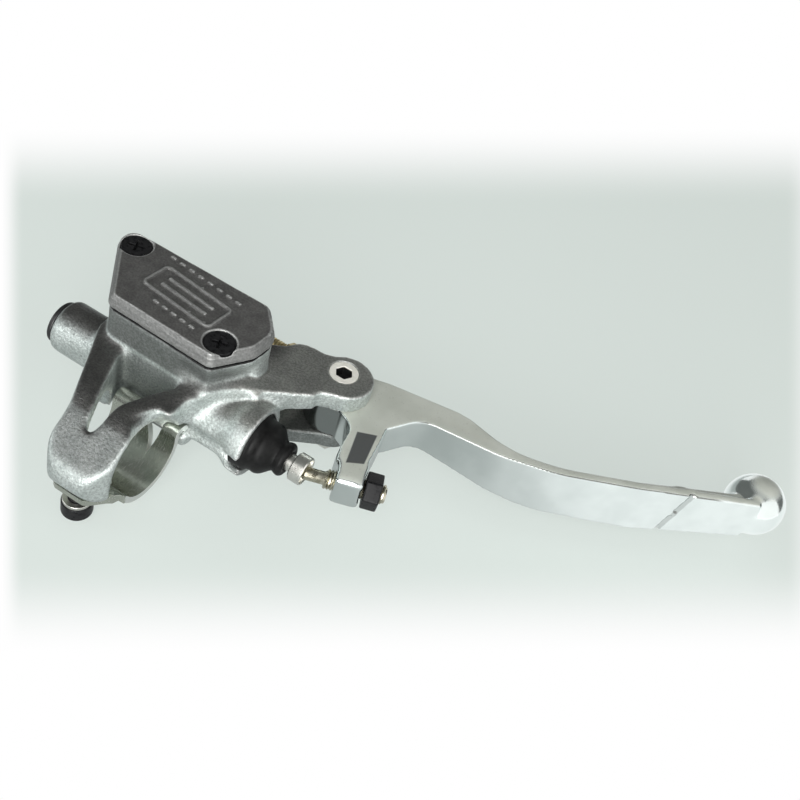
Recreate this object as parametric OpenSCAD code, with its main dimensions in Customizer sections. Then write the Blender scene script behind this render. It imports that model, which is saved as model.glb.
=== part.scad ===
// Hydraulic front-brake lever and master cylinder for a 22 mm handlebar.
// Frame: origin at the centre of the handlebar clamp, +X outboard along the bar,
// +Y forward (away from the rider), +Z up, square to the reservoir cover. Millimetres.

/* [Handlebar clamp] */
// Diameter of the handlebar that the clamp grips
bar_d = 22.2; // [20:0.1:24]
// Width of the steel strap along the bar
strap_w = 23; // [18:1:26]
// Thickness of the strap's steel
strap_t = 2; // [1.5:0.1:2.5]
// Wall of the cast saddle over the bar
saddle_wall = 4.4; // [3.5:0.1:6]
// Diameter of the clamp screw's thread
clamp_screw_d = 5; // [4:0.5:5]
// Distance of the clamp screw behind the bar's axis
clamp_screw_back = 14.6; // [14.2:0.1:16]
// How far the clamp screw is backed off from tight
clamp_slack = 3.6; // [0:0.1:4]

/* [Cylinder] */
// Diameter of the piston
piston_d = 11; // [9.5:0.5:12]
// Distance of the cylinder's axis forward of the bar's axis
cyl_y = 24.5; // [24:0.5:27]
// Height of the cylinder's axis over the bar's axis
cyl_z = 3; // [2:0.5:4]
// Outer diameter of the cylinder's barrel
barrel_d = 19; // [18:0.5:21]
// Outer diameter of the hose boss
boss_d = 17; // [15:0.5:18]
// Diameter of the rim round the dust boot
rim_d = 23.4; // [22:0.1:25]
// Place of the rim's open face along the bar
rim_x = 32.4; // [31:0.1:34]
// Length of the hose boss beyond the reservoir
boss_x = -40; // [-46:0.5:-38]

/* [Reservoir] */
// Height of the reservoir cover's top face
cover_top = 32; // [30:0.5:36]
// Thickness of the cover
cover_t = 5; // [4:0.5:6]
// Thickness of the reservoir's walls
wall = 3; // [2.4:0.1:3.6]
// Height of the reservoir's floor
floor_z = 14; // [13.5:0.5:16]
// Diameter of the cover screws' thread
cover_screw_d = 5; // [4:0.5:5]

/* [Lever] */
// Place of the lever's pivot along the bar
pivot_x = 41; // [40:0.5:43]
// Place of the lever's pivot forward of the bar
pivot_y = 55; // [54:0.5:57]
// Height of the lever's hub
hub_h = 12; // [10:0.5:13]
// Diameter of the lever's hub
hub_d = 19; // [18:0.5:20]
// Diameter of the pivot bolt's shoulder
pivot_d = 8; // [6:0.5:8.5]
// Thickness of the ear over the lever
ear_upper_t = 6.8; // [5:0.1:8]
// Thickness of the ear under the lever
ear_lower_t = 6; // [5:0.1:8]
// Height of the lever's blade where the fingers pull
blade_h = 20; // [16:0.5:21]
// Thickness of the lever's blade at half height
blade_t = 7.5; // [6:0.5:9]
// Thickness of the lever's blade along its upper and lower edges
blade_edge_t = 3.4; // [2.5:0.1:5]
// Diameter of the ball at the lever's end
ball_d = 20.6; // [16:0.1:21]
// Diameter of the adjuster screw's thread
adjuster_d = 6; // [5:0.5:6]
// Angle of the adjuster screw to the bar
adjuster_angle = 20.5; // [18:0.5:23]

/* [Hidden] */
$fn = 96;

// Clearances: a running fit, a drop-in fit and the gap between faces that pass each other
run = 0.04;
drop_in = 0.1;
face_gap = 0.2;

bar_r = bar_d / 2;
saddle_top = bar_r + saddle_wall;
strap_x = 0.8;
strap_x0 = strap_x - strap_w / 2;
strap_x1 = strap_x + strap_w / 2;
clamp_x = -1;
nose_foot_z = -6;
foot_gap = 0.6;
foot_top = nose_foot_z - foot_gap;
clamp_head_d = 1.85 * clamp_screw_d;
clamp_head_h = clamp_screw_d;
washer_t = 1.2;
washer_top = foot_top - strap_t - clamp_slack;
hook_y = bar_r + 1.6 * strap_t;
hook_r = 1.6 * strap_t;

seam_z = cover_top - cover_t;
gasket_t = 0.8;
cover_under = seam_z + gasket_t;
plate_top = 16;
plate_low = plate_top - ear_upper_t;
hub_low = plate_low - face_gap - hub_h;
ear_low_top = hub_low - face_gap;
ear_low_z = ear_low_top - ear_lower_t;
hub_top = hub_low + hub_h;
blade_low = hub_top - blade_h;

// The cover's outline as seen from above: corner x, corner y, corner radius
cover_outline = [[-20.2, 18.3, 3], [15.8, 17.4, 3], [23.2, 29.5, 8], [24, 38.9, 8],
  [16, 48.2, 3], [-39.3, 47.2, 5]];
cover_screws_at = [[-28.5, 41.1], [13.7, 24.9]];
screw_boss_r = 5.2;

piston_r = piston_d / 2;
bore_r = piston_r + run;
bore_end = -17;
boot_seat_r = 9.5;
boot_seat_x = rim_x - 4.5;
ring_x = boot_seat_x - 2.6;
ring_t = 1.2;
piston_x0 = 1.5;
piston_x1 = ring_x - face_gap;
cup_groove = 3;
port_r = 1.4;
spring_wire = 0.9;
spring_r = 3.2;
spring_turns = 6;
hose_port_r = 4.5;
hose_port_depth = 11;

adj_dir = [cos(adjuster_angle), sin(adjuster_angle)];
adj_tip = [50.3, cyl_y - 0.1];
ball_at = [172, 116, -1];
block_start = 7.4;
block_len = 9.4;
block_w = 9;
block_low = -3;
block_high = hub_top;
nut_af = 10;
nut_t = 5;
cup_x = 45.4;
cup_len = 4.2;
cup_od = 9.2;
cup_id = 7.8;
rod_d = 5.6;

ear_r = 9;
switch_y = pivot_y + 3.4;
switch_z = 5.4;
switch_x0 = 4;
switch_r = 3;
lug_x0 = 22;
lug_x1 = 28.6;
cam_r = hub_d / 2 + 1;
cam_from = 151;
cam_to = 169;
plunger_gap = 0.55;

// ---- Outline helpers ----
function unit(v) = v / norm(v);
function corner(a, p, b, r, n = 8) =
  let (u = unit(a - p), v = unit(b - p), half = acos(max(-1, min(1, u * v))) / 2,
    reach = r / tan(half), mid = p + unit(u + v) * (r / sin(half)),
    s = p + u * reach - mid, e = p + v * reach - mid,
    a0 = atan2(s[1], s[0]), turn = atan2(s[0] * e[1] - s[1] * e[0], s * e))
  [for (i = [0 : n]) mid + r * [cos(a0 + turn * i / n), sin(a0 + turn * i / n)]];
// A closed outline with a round of its own radius at each corner
function rounded(pts) = let (n = len(pts)) [for (i = [0 : n - 1])
  let (p = pts[i], a = pts[(i + n - 1) % n], b = pts[(i + 1) % n])
  each (p[2] > 0 ? corner([a[0], a[1]], [p[0], p[1]], [b[0], b[1]], p[2]) : [[p[0], p[1]]])];
// The same outline moved inwards by d, for an outline listed anticlockwise
function inset(pts, d) = let (n = len(pts)) [for (i = [0 : n - 1])
  let (p = [pts[i][0], pts[i][1]], q = pts[(i + n - 1) % n], s = pts[(i + 1) % n],
    u = unit(p - [q[0], q[1]]), v = unit([s[0], s[1]] - p),
    m = unit([-u[1] - v[1], u[0] + v[0]]), k = d / (m * [-u[1], u[0]]))
  [p[0] + m[0] * k, p[1] + m[1] * k, max(pts[i][2] - d, 0)]];

module capsule(a, b, r) {
  d = b - a;
  translate(a) circle(r);
  translate(b) circle(r);
  translate(a) rotate(atan2(d[1], d[0])) translate([0, -r]) square([norm(d), 2 * r]);
}
module along_x(x0, x1, y, z, r, r2 = undef) {
  translate([x0, y, z]) rotate([0, 90, 0])
    cylinder(h = x1 - x0, r1 = r, r2 = r2 == undef ? r : r2);
}
module slab(z0, z1) { translate([0, 0, z0]) linear_extrude(z1 - z0) children(); }
// A profile drawn in the Y-Z plane, run along X
module profile_x(x0, x1) {
  translate([x0, 0, 0]) rotate([90, 0, 90]) linear_extrude(x1 - x0) children();
}
module hex(af, h) { cylinder(h = h, r = af / 2 / cos(30), $fn = 6); }
module at_pivot() { translate([pivot_x, pivot_y, 0]) children(); }
module on_adjuster() {
  translate([adj_tip[0], adj_tip[1], cyl_z]) rotate([0, 0, adjuster_angle]) children();
}
module on_cylinder() { translate([0, cyl_y, cyl_z]) rotate([0, 90, 0]) children(); }

// ---- Casting ----
// Saddle and nose seen from the side: corner y, corner z, corner radius
saddle_outline = [[cyl_y, saddle_top, 0], [-4, saddle_top, 14], [-21.6, 3.4, 7],
  [-20.8, -2.6, 5], [-17.4, nose_foot_z, 1.5], [-13.9, nose_foot_z, 0],
  [-12.4, nose_foot_z + 2.2, 0], [-4, nose_foot_z + 2.2, 0],
  [cyl_y, -3, 0]];
module saddle_side() { polygon(rounded(saddle_outline)); }
// The two arms, the nose and the right-hand flange of the saddle seen from above
module arms_plan() {
  capsule([-20.5, 23], [-5.8, -7], 4.8);
  capsule([2.2, -8], [2.4, 1], 2.7);
  capsule([2.4, 1], [7.2, 11.6], 2.7);
  capsule([7.2, 11.6], [18, 27], 3.2);
  translate([clamp_x, -10.4]) circle(10.8);
}
module saddle_foot_plan() {
  polygon(rounded([[-25, 21, 0], [-11.4, -8, 14], [-12, -14.5, 7], [-6.6, -21.3, 7],
    [4.8, -21.3, 7], [9.9, -14.6, 5], [9.4, 6, 6], [12.5, 14, 6], [12.5, cyl_y + 3, 0],
    [-25, cyl_y + 3, 0]]));
}
module ear_plan(r) {
  translate([pivot_x + 1.4, pivot_y - 1.2]) circle(r);
  polygon([[pivot_x + 4, pivot_y - r - 0.6], [pivot_x - 4.6, pivot_y - r - 5], [30, 34.6],
    [24.6, 30.8], [12.8, 15.4], [8, 20], [12, 46], [21.2, 52.4], [23.4, 56], [26, 57.6],
    [32.5, 58.2], [pivot_x - 2, pivot_y + r - 3], [pivot_x + 2, pivot_y + r - 1.8]]);
}
module lower_ear_plan() {
  at = [pivot_x, pivot_y];
  translate(at) circle(ear_r + 0.6);
  polygon([[pivot_x + 2, pivot_y - ear_r - 0.4], [33, 39], [rim_x - 4, cyl_y + 6], [18, cyl_y],
    [18, 44], [20, 54], [pivot_x - 4, pivot_y + ear_r - 0.4]]);
}
module casting_solid() {
  intersection() {
    slab(11, 40) arms_plan();
    profile_x(-60, 60) saddle_side();
  }
  intersection() {
    slab(nose_foot_z - 2, 12.4) saddle_foot_plan();
    profile_x(-60, 60) saddle_side();
  }
  // Side flange along the bore's edge, left and right
  intersection() {
    slab(-4, 14.2) translate([3, -10]) square([6.4, 22]);
    profile_x(-60, 60) circle(bar_r + 2.2);
  }
  // Front block between the bar and the cylinder
  profile_x(-13, 12.6) polygon([[6, plate_top - 1], [cyl_y, plate_top - 1], [cyl_y, -6.4],
    [18.8, -9], [15.6, -7.4], [14.6, -1]]);
  slab(plate_low, plate_top) ear_plan(ear_r);
  slab(ear_low_z, ear_low_top) lower_ear_plan();
  // Barrel, hose boss, rim
  along_x(-22, rim_x - 1, cyl_y, cyl_z, barrel_d / 2);
  along_x(boss_x + 1, -20, cyl_y, cyl_z, boss_d / 2);
  along_x(boss_x, boss_x + 1, cyl_y, cyl_z, boss_d / 2 - 1, boss_d / 2);
  along_x(rim_x - 5, rim_x, cyl_y, cyl_z, rim_d / 2);
  along_x(rim_x - 9, rim_x - 5, cyl_y, cyl_z, barrel_d / 2, rim_d / 2);
  // Web that carries both ears from the barrel
  slab(ear_low_z, plate_top) polygon([[12, cyl_y], [rim_x - 5, cyl_y + 4], [27, 40],
    [24, 46], [12, 46]]);
  // Reservoir walls and floor
  slab(floor_z - wall, seam_z) polygon(rounded(inset(cover_outline, 0.4)));
  slab(cyl_z, floor_z) polygon([[-21, 19.7], [14.6, 19], [18, 32], [-28, 32]]);
  // Lug for the brake-light switch
  along_x(lug_x0, lug_x1, switch_y, switch_z, switch_r + 2.4);
  slab(switch_z, plate_low + 1) translate([lug_x0, 46]) square([lug_x1 - lug_x0, switch_y - 46]);
}
module cylinder_body() {
  color("silver") difference() {
    casting_solid();
    // Handlebar bore, and the room for the strap under it
    profile_x(-60, 60) circle(bar_r);
    profile_x(strap_x0 - 2.5, 60) difference() {
      circle(bar_r + strap_t + 0.8);
      translate([-30, -2.6]) square([60, 40]);
    }
    profile_x(strap_x0 - 0.8, 60) translate([hook_y, 0.6]) circle(hook_r + 0.7);
    profile_x(strap_x0 - 0.8, 60)
      translate([bar_r - 0.5, -20]) square([hook_y - bar_r + 1, 20.6]);
    // Clearance for the clamp screw's thread in the nose
    translate([clamp_x, -clamp_screw_back, nose_foot_z - 1])
      cylinder(h = 1 + 6 - 2.2, r = clamp_screw_d / 2 + 0.03);
    // Window between the arms
    slab(-30, 40) polygon(rounded([[-2.2, -12.5, 1.2], [-0.8, -6, 4], [-0.6, 2, 3],
      [4.6, 12.4, 2], [8, 18, 1.4], [-13.6, 18, 2]]));
    // Recess along the right arm
    translate([8.1, 0, 0]) rotate([0, 90, 0]) cylinder(h = 6, r = bar_r + 2.3);
    // Piston bore, boot seat, hose port and the passage between them
    along_x(bore_end, rim_x + 1, cyl_y, cyl_z, bore_r);
    along_x(boot_seat_x, rim_x + 1, cyl_y, cyl_z, boot_seat_r);
    along_x(ring_x, ring_x + ring_t + 0.1, cyl_y, cyl_z, bore_r + 1.2);
    along_x(boss_x - 1, boss_x + hose_port_depth, cyl_y, cyl_z, hose_port_r);
    along_x(boss_x + 5, bore_end + 1, cyl_y, cyl_z, 2);
    // Reservoir chamber, its ports to the bore, and the screws' holes
    difference() {
      slab(floor_z, seam_z + 1) polygon(rounded(inset(cover_outline, 0.4 + wall)));
      for (p = cover_screws_at) translate([p[0], p[1], 0]) cylinder(h = 60, r = screw_boss_r);
    }
    for (x = [-1.5, 6]) translate([x, cyl_y, cyl_z]) cylinder(h = 30, r = port_r);
    for (p = cover_screws_at) translate([p[0], p[1], seam_z - 11])
      cylinder(h = 20, r = cover_screw_d / 2 + 0.03);
    // Pivot: the bolt's head recess, its shoulder and its thread
    at_pivot() {
      translate([0, 0, plate_top - 4.2]) cylinder(h = 10, r = 4.7);
      translate([0, 0, ear_low_top - 2]) cylinder(h = 40, r = pivot_d / 2 + 0.05);
      translate([0, 0, ear_low_z - 1]) cylinder(h = 20, r = 3.05);
    }
    // Room for the lever's hub between the ears
    at_pivot() slab(ear_low_top, plate_low) circle(hub_d / 2 + 2.2);
    slab(ear_low_top, plate_low) polygon([[pivot_x - 6, pivot_y + 20], [pivot_x + 30, pivot_y + 20],
      [pivot_x + 30, 20], [pivot_x - 2, 20], [rim_x + 0.2, 36], [30, 44]]);
    // Brake-light switch
    along_x(lug_x0 - 6, lug_x1 + 5, switch_y, switch_z, switch_r + 0.03);
  }
}

// ---- Reservoir ----
module reservoir_cover() {
  color([0.33, 0.34, 0.35]) difference() {
    union() {
      slab(cover_under, cover_under + 1.6) polygon(rounded(cover_outline));
      slab(cover_under + 1.6, cover_top - 1) polygon(rounded(inset(cover_outline, 0.5)));
      slab(cover_top - 1, cover_top) polygon(rounded(inset(cover_outline, 1.2)));
    }
    slab(cover_under - 1, cover_under + 1.6) difference() {
      polygon(rounded(inset(cover_outline, 1 + wall)));
      for (p = cover_screws_at) translate(p) circle(screw_boss_r + 0.6);
    }
    for (p = cover_screws_at) translate([p[0], p[1], 0]) {
      cylinder(h = 60, r = cover_screw_d / 2 + 0.2);
      translate([0, 0, cover_top - 3]) cylinder(h = 10, r = 4.75);
    }
  }
}
module diaphragm() {
  color([0.12, 0.12, 0.12]) difference() {
    union() {
      slab(seam_z, cover_under) polygon(rounded(inset(cover_outline, 1.1)));
      slab(seam_z - 3.4, seam_z + 0.1) difference() {
        polygon(rounded(inset(cover_outline, 1.4 + wall)));
        for (p = cover_screws_at) translate(p) circle(screw_boss_r + 0.6);
      }
    }
    slab(seam_z - 2.2, cover_under + 1) difference() {
      polygon(rounded(inset(cover_outline, 2.6 + wall)));
      for (p = cover_screws_at) translate(p) circle(screw_boss_r + 1.8);
    }
    for (p = cover_screws_at) translate([p[0], p[1], 0])
      cylinder(h = 60, r = cover_screw_d / 2 + 0.1);
  }
}
module cover_screws() {
  color([0.08, 0.08, 0.08]) for (p = cover_screws_at) translate([p[0], p[1], 0]) difference() {
    union() {
      translate([0, 0, seam_z - 9]) cylinder(h = cover_top - seam_z + 6, r = cover_screw_d / 2);
      translate([0, 0, cover_top - 3]) cylinder(h = 2.7, r = 4.6);
    }
    for (a = [20, 110]) translate([0, 0, cover_top]) rotate([0, 0, a])
      cube([4.8, 0.9, 3.4], center = true);
  }
}
module port_baffle() {
  color("silver") slab(floor_z, floor_z + 1) difference() {
    capsule([-5, cyl_y + 1.2], [5.6, cyl_y + 1.2], 2.2);
    translate([-1.5, cyl_y + 0.6]) circle(0.5);
  }
}

// ---- Clamp ----
module strap_side() {
  difference() {
    circle(bar_r + drop_in + strap_t);
    circle(bar_r + drop_in);
    translate([-30, 0]) square([60, 40]);
    translate([-30, -5.6]) square([22, 40]);
  }
  // Hook that lies in the casting's pocket
  translate([hook_y, 0]) difference() {
    circle(hook_r);
    circle(hook_r - strap_t);
    translate([-hook_r - 1, -hook_r - 1]) square([2 * hook_r + 2, hook_r + 1]);
  }
  // Crimp and flat foot under the nose
  polygon([[-9.2, -8.6], [-9.8, -5.8], [-11.2, -4.6], [-12.6, -4.9], [-13.8, foot_top],
    [-18.4, foot_top], [-18.4, foot_top - strap_t], [-12.6, foot_top - strap_t],
    [-11.6, -7.2], [-10.6, -8.6]]);
}
module clamp_strap() {
  color([0.78, 0.79, 0.76]) difference() {
    intersection() {
      profile_x(strap_x0, strap_x1) strap_side();
      slab(-30, 10) polygon(rounded([[strap_x0, 40, 0], [strap_x0, -11.6, 4],
        [clamp_x - 6, -18.8, 5], [clamp_x + 5, -18.8, 5], [clamp_x + 9.4, -13.6, 2],
        [strap_x1, -10.4, 2], [strap_x1, 40, 0]]));
    }
    translate([clamp_x, -clamp_screw_back, -30]) cylinder(h = 40, r = clamp_screw_d / 2 + 0.35);
    // Notch that splits the hooked end into two legs
    translate([0, 6, -8]) rotate([-90, 0, 0]) linear_extrude(20)
      polygon([[strap_x + 4.4, 0.4], [strap_x + 8.6, -20], [strap_x - 3, -20]]);
  }
}
module clamp_washer() {
  color([0.45, 0.46, 0.46]) translate([clamp_x, -clamp_screw_back, washer_top - washer_t])
    difference() {
      cylinder(h = washer_t, r = 0.86 * clamp_screw_d);
      translate([0, 0, -1]) cylinder(h = 9, r = clamp_screw_d / 2 + 0.15);
    }
}
module clamp_screw() {
  color([0.08, 0.08, 0.08]) translate([clamp_x, -clamp_screw_back, washer_top - washer_t])
    difference() {
      union() {
        translate([0, 0, -clamp_head_h + 0.5]) cylinder(h = clamp_head_h - 0.5,
          r = clamp_head_d / 2);
        translate([0, 0, -clamp_head_h]) cylinder(h = 0.5, r1 = clamp_head_d / 2 - 0.5,
          r2 = clamp_head_d / 2);
        translate([0, 0, -0.1]) cylinder(h = 11.2, r = clamp_screw_d / 2);
      }
      translate([0, 0, -clamp_head_h - 1]) hex(0.8 * clamp_screw_d, 3.6);
    }
}

// ---- Hydraulics ----
module hose_port_plug() {
  color([0.06, 0.06, 0.06]) difference() {
    union() {
      along_x(boss_x, boss_x + 7, cyl_y, cyl_z, hose_port_r - 0.03);
      along_x(boss_x - 1.6, boss_x, cyl_y, cyl_z, boss_d / 2 - 1.6);
    }
    along_x(boss_x - 3, boss_x + 5, cyl_y, cyl_z, 2.6);
  }
}
module piston() {
  color([0.72, 0.73, 0.75]) difference() {
    union() {
      along_x(piston_x0, piston_x0 + 2, cyl_y, cyl_z, piston_r - 1.6);
      along_x(piston_x0 + 2 + cup_groove, piston_x1, cyl_y, cyl_z, piston_r);
      along_x(piston_x0, piston_x1 - 2, cyl_y, cyl_z, 2.6);
    }
    on_cylinder() translate([0, 0, piston_x1 - 7]) difference() {
      cylinder(h = 2, r = 8);
      cylinder(h = 9, r = 3.6, center = true);
    }
    along_x(piston_x1 - 2.6, piston_x1 + 1, cyl_y, cyl_z, rod_d / 2 + 0.3);
  }
}
module primary_cup() {
  color([0.1, 0.1, 0.1]) translate([0, cyl_y, cyl_z]) rotate([0, 90, 0]) rotate_extrude()
    polygon([[2.65, piston_x0 + 2.1], [piston_r - 0.02, piston_x0 + 2.1],
      [piston_r - 0.02, piston_x0 + 3.6], [piston_r - 0.6, piston_x0 + 1.9 + cup_groove],
      [2.65, piston_x0 + 1.9 + cup_groove]]);
}
module secondary_seal() {
  color([0.1, 0.1, 0.1]) translate([0, cyl_y, cyl_z]) rotate([0, 90, 0]) rotate_extrude()
    polygon([[3.65, piston_x1 - 6.95], [piston_r - 0.02, piston_x1 - 6.95],
      [piston_r - 0.02, piston_x1 - 5.6], [piston_r - 0.5, piston_x1 - 5.05],
      [3.65, piston_x1 - 5.05]]);
}
module spring_seat() {
  color([0.55, 0.56, 0.58]) difference() {
    union() {
      along_x(piston_x0 - 1.4, piston_x0 - 0.05, cyl_y, cyl_z, piston_r - 0.4);
      along_x(piston_x0 - 4, piston_x0 - 1.3, cyl_y, cyl_z, 1.9);
    }
    along_x(piston_x0 - 5, piston_x0 - 2.4, cyl_y, cyl_z, 1);
  }
}
module return_spring() {
  x0 = bore_end + spring_wire / 2 + 0.1;
  x1 = piston_x0 - 1.4 - spring_wire / 2 - 0.1;
  pitch = (x1 - x0) / (spring_turns - 1);
  // Rings one pitch apart, joined by short struts, stand for the coils
  color([0.6, 0.6, 0.62]) union() {
    for (i = [0 : spring_turns - 1]) on_cylinder() translate([0, 0, x0 + i * pitch])
      rotate_extrude($fn = 48) translate([spring_r, 0]) circle(spring_wire / 2, $fn = 16);
    for (i = [0 : spring_turns - 2]) along_x(x0 + i * pitch, x0 + (i + 1) * pitch,
      cyl_y + spring_r * (i % 2 == 0 ? 1 : -1), cyl_z, spring_wire / 2 - 0.1);
  }
}
module retaining_ring() {
  color([0.5, 0.5, 0.52]) difference() {
    along_x(ring_x + 0.05, ring_x + 0.05 + ring_t, cyl_y, cyl_z, bore_r + 1.1);
    along_x(ring_x - 1, ring_x + 4, cyl_y, cyl_z, rod_d / 2 + 0.9);
    translate([ring_x - 1, cyl_y - 1, cyl_z - 20]) cube([4, 2, 20]);
  }
}
module pushrod() {
  color([0.8, 0.8, 0.78]) difference() {
    union() {
      translate([piston_x1 - 2.4 + rod_d / 2, cyl_y, cyl_z]) sphere(rod_d / 2);
      along_x(piston_x1 - 2.4 + rod_d / 2, cup_x + 0.2, cyl_y, cyl_z, rod_d / 2);
      along_x(cup_x, cup_x + cup_len, cyl_y, cyl_z, cup_od / 2);
      along_x(ring_x - 1.6, ring_x - face_gap, cyl_y, cyl_z, rod_d / 2);
    }
    along_x(cup_x + 1.6, cup_x + cup_len + 1, cyl_y, cyl_z, cup_id / 2);
  }
}
module dust_boot() {
  mouth = rod_d / 2 + 0.1;
  color([0.07, 0.07, 0.07]) translate([0, cyl_y, cyl_z]) rotate([0, 90, 0]) rotate_extrude()
    polygon([[boot_seat_r - 0.1, boot_seat_x + 0.1], [boot_seat_r - 0.1, rim_x - 1],
      [8.7, rim_x + 0.6], [8, rim_x + 3], [7.4, rim_x + 4.6], [7.2, rim_x + 6],
      [6.2, rim_x + 7.4], [5.2, rim_x + 8.2], [5.4, rim_x + 10.4], [mouth, rim_x + 11],
      [mouth, rim_x + 9.6], [4.4, rim_x + 7.2], [6, rim_x + 5], [6.4, rim_x + 3.4],
      [6.9, rim_x + 0.4], [7, boot_seat_x + 0.1]]);
}

// ---- Pivot ----
module pivot_bolt() {
  color([0.86, 0.84, 0.74]) at_pivot() difference() {
    union() {
      translate([0, 0, plate_top - 4.1]) cylinder(h = 4, r = 4.6);
      translate([0, 0, ear_low_top - 1.9]) cylinder(h = plate_top - 4 - ear_low_top + 1.9,
        r = pivot_d / 2);
      translate([0, 0, ear_low_z - nut_t - 1]) cylinder(h = ear_lower_t + nut_t + 1, r = 3);
    }
    translate([0, 0, plate_top - 3.6]) hex(5, 6);
  }
}
module pivot_nut() {
  color([0.5, 0.5, 0.5]) at_pivot() translate([0, 0, ear_low_z - nut_t]) difference() {
    hex(nut_af, nut_t - 0.02);
    translate([0, 0, -1]) cylinder(h = 9, r = 3.03);
  }
}
module pivot_bushing() {
  color([0.72, 0.6, 0.35]) at_pivot() difference() {
    translate([0, 0, hub_low]) cylinder(h = hub_h, r = pivot_d / 2 + 1.2);
    translate([0, 0, hub_low - 1]) cylinder(h = hub_h + 2, r = pivot_d / 2 + run);
  }
}
module thrust_washers() {
  color([0.6, 0.6, 0.62]) at_pivot()
    for (z = [hub_low - face_gap + 0.02, hub_top + 0.03]) translate([0, 0, z]) difference() {
      cylinder(h = 0.15, r = 7.5);
      translate([0, 0, -1]) cylinder(h = 3, r = pivot_d / 2 + 0.1);
    }
}

// ---- Lever ----
// Rear edge of the lever from the hub to the ball, as seen from above
blade_rear = [[61, 50, 7], [68, 61.4, 10], [94, 65, 40], [112, 70.8, 60], [137, 84.2, 90],
  [173, 107.2, 0]];
module lever_plan(t) {
  at_front = [for (i = [len(blade_rear) - 1 : -1 : 3]) let (p = blade_rear[i],
    q = blade_rear[max(i - 1, 0)], u = unit([p[0] - q[0], p[1] - q[1]]))
    [p[0] - u[1] * t, p[1] + u[0] * t, i == len(blade_rear) - 1 ? 0 : 60]];
  polygon(rounded(concat([[pivot_x + 9.5, pivot_y - 10, 0]], blade_rear, at_front,
    [[95, 66.4 + t, 30], [78, 73.4, 20], [52, 68.4, 10], [pivot_x, pivot_y + hub_d / 2, 0],
     [pivot_x, pivot_y, 0]])));
}
module tail_plan() {
  polygon(rounded([[pivot_x, pivot_y - 6, 0], [52.2, 44, 6], [54.4, 30, 0], [63.8, 33.6, 0],
    [62, 46, 4], [60, 56, 0], [48, 62, 0]]));
}
module lever() {
  color([0.85, 0.86, 0.86]) difference() {
    union() {
      intersection() {
        union() {
          slab(hub_low, hub_top) lever_plan(blade_edge_t);
          slab(blade_low, hub_top) intersection() {
            lever_plan(blade_edge_t);
            translate([66, 0]) square([200, 200]);
          }
          slab(blade_low + 3.5, hub_top - 4.5) intersection() {
            lever_plan(blade_t);
            translate([84, 0]) square([200, 200]);
          }
        }
        // Side view of the blade: it deepens from the hub outwards and ends at the ball
        translate([0, 200, 0]) rotate([90, 0, 0]) linear_extrude(400)
          polygon([[30, hub_low], [66, hub_low], [84, hub_low - 3.2], [104, blade_low + 1],
            [140, blade_low], [178, blade_low + 2], [178, hub_top - 2], [140, hub_top],
            [30, hub_top]]);
      }
      at_pivot() slab(hub_low, hub_top) circle(hub_d / 2);
      at_pivot() slab(hub_low + 1, hub_top - 1) intersection() {
        circle(cam_r);
        polygon([for (a = [0, cam_from, (cam_from + cam_to) / 2, cam_to])
          a == 0 ? [0, 0] : 14 * [cos(a), sin(a)]]);
      }
      slab(hub_low, hub_top) tail_plan();
      on_adjuster() translate([block_start, -block_w / 2 + 0.3, block_low - cyl_z])
        cube([block_len, block_w, block_high - block_low]);
      translate(ball_at) sphere(ball_d / 2);
    }
    at_pivot() translate([0, 0, hub_low - 1]) cylinder(h = hub_h + 2, r = pivot_d / 2 + 1.2);
    on_adjuster() rotate([0, 90, 0]) cylinder(h = 40, r = adjuster_d / 2 + 0.03);
    // Groove where the blade breaks away in a fall
    translate([150.4, 92.4, 0]) rotate([0, 14, 32.6]) translate([-1, -5, -20]) cube([2, 6.2, 17.5]);
    translate([150.4, 92.4, 0]) rotate([0, 14, 32.6]) translate([-1, -5, -1]) cube([2, 6.2, 20]);
  }
}
module adjuster_screw() {
  color([0.78, 0.74, 0.6]) on_adjuster() rotate([0, 90, 0]) difference() {
    union() {
      translate([0, 0, -2.2]) cylinder(h = 7.4, r = 2);
      translate([0, 0, 5]) cylinder(h = 18.6, r = adjuster_d / 2);
    }
    translate([-0.5, -5, 22.2]) cube([1, 10, 3]);
  }
}
module adjuster_locknut() {
  color([0.1, 0.1, 0.1]) on_adjuster() translate([block_start + block_len + 0.05, 0, 0])
    rotate([0, 90, 0]) difference() {
      rotate([0, 0, 15]) hex(nut_af, nut_t);
      translate([0, 0, -1]) cylinder(h = 9, r = adjuster_d / 2 + 0.03);
    }
}

// ---- Brake-light switch ----
module switch_barrel() {
  color([0.75, 0.65, 0.35]) difference() {
    union() {
      along_x(switch_x0 + 4, lug_x1 - 2, switch_y, switch_z, switch_r);
      translate([switch_x0, switch_y, switch_z]) rotate([0, 90, 0]) hex(8, 4.1);
    }
    along_x(lug_x1 - 9, lug_x1 + 1, switch_y, switch_z, 1.3 + run);
  }
}
module switch_locknut() {
  color([0.6, 0.55, 0.4]) translate([lug_x0 - 3.05, switch_y, switch_z]) rotate([0, 90, 0])
    difference() {
      hex(9, 3);
      translate([0, 0, -1]) cylinder(h = 9, r = switch_r + 0.03);
    }
}
module switch_plunger() {
  tip = pivot_x - cam_r - plunger_gap + 0.35;
  color([0.12, 0.12, 0.12]) union() {
    along_x(lug_x1 - 8, tip - 0.8, switch_y, switch_z, 1.3);
    along_x(tip - 0.8, tip, switch_y, switch_z, 1.3, 0.8);
  }
}

cylinder_body();
reservoir_cover();
diaphragm();
cover_screws();
clamp_strap();
clamp_screw();
clamp_washer();
hose_port_plug();
port_baffle();
pivot_bolt();
pivot_nut();
switch_barrel();
switch_locknut();
switch_plunger();
retaining_ring();
piston();
primary_cup();
secondary_seal();
spring_seat();
return_spring();
pushrod();
dust_boot();
lever();
pivot_bushing();
adjuster_screw();
adjuster_locknut();
thrust_washers();
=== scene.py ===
import math

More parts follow.
